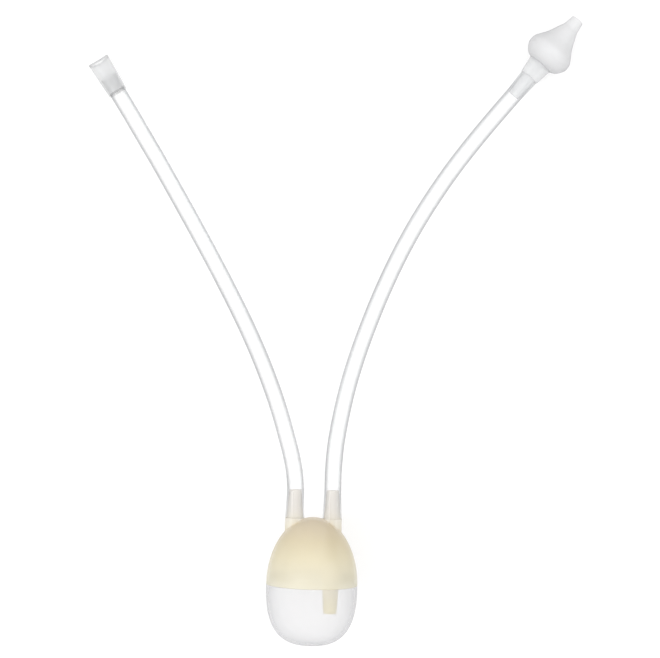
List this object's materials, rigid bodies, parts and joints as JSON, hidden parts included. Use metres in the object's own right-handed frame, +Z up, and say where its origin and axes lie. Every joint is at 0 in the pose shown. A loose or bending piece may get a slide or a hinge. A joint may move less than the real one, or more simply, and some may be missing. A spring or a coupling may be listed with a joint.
{
  "type": "nasal aspirator",
  "caption": "Mouth-suction baby nasal aspirator: egg-shaped collecting bottle with a cream cap and a clear cup, clear hoses, a mouthpiece and an onion-shaped soft nose tip.",
  "frame": {"origin": "on the table, under the middle of the box round the bottle, the mouthpiece, the connector and the nose tip, as the object lies flat", "axes": "+X to the nose-tip side, +Y along the bottle's axis from its cup to its spigots, +Z up from the table"},
  "size_m": [0.2346, 0.3008, 0.043],
  "materials": {
    "frosted_clear_plastic": "moulded, lightly frosted, translucent",
    "cream_plastic": "moulded, glossy, translucent cream",
    "seal_silicone": "moulded, satin",
    "ivory_plastic": "moulded, satin, translucent",
    "clear_silicone": "extruded, clear, smooth",
    "frosted_plastic": "moulded, frosted",
    "frosted_silicone": "moulded, soft, frosted"
  },
  "bodies": {
    "cap": {"bottle_cap": "cream_plastic", "drip_tube": "ivory_plastic"},
    "cup": {"bottle_cup": "frosted_clear_plastic", "seal_ring": "seal_silicone"},
    "mouth_line": {"mouth_hose": "clear_silicone"},
    "mouth_end": {"mouthpiece": "frosted_plastic"},
    "nose_line": {"nose_hose": "clear_silicone"},
    "nose_fitting": {"nose_connector": "frosted_plastic"},
    "nose_end": {"nose_tip": "frosted_silicone"}
  },
  "joints": [
    {"name": "cup_pull", "type": "slide", "parent": "cap", "child": "cup", "axis": [0, -1, 0], "range_m": [0, 0.03]},
    {"name": "mouth_hose_pull", "type": "slide", "parent": "cap", "child": "mouth_line", "axis": [0, 1, 0], "range_m": [0, 0.02]},
    {"name": "mouthpiece_pull", "type": "slide", "parent": "mouth_line", "child": "mouth_end", "axis": [-0.5446, 0.8387, 0], "range_m": [0, 0.015]},
    {"name": "nose_hose_pull", "type": "slide", "parent": "cap", "child": "nose_line", "axis": [0, 1, 0], "range_m": [0, 0.02]},
    {"name": "connector_pull", "type": "slide", "parent": "nose_line", "child": "nose_fitting", "axis": [0.6293, 0.7771, 0], "range_m": [0, 0.018]},
    {"name": "nose_tip_pull", "type": "slide", "parent": "nose_fitting", "child": "nose_end", "axis": [0.6293, 0.7771, 0], "range_m": [0, 0.015]}
  ]
}
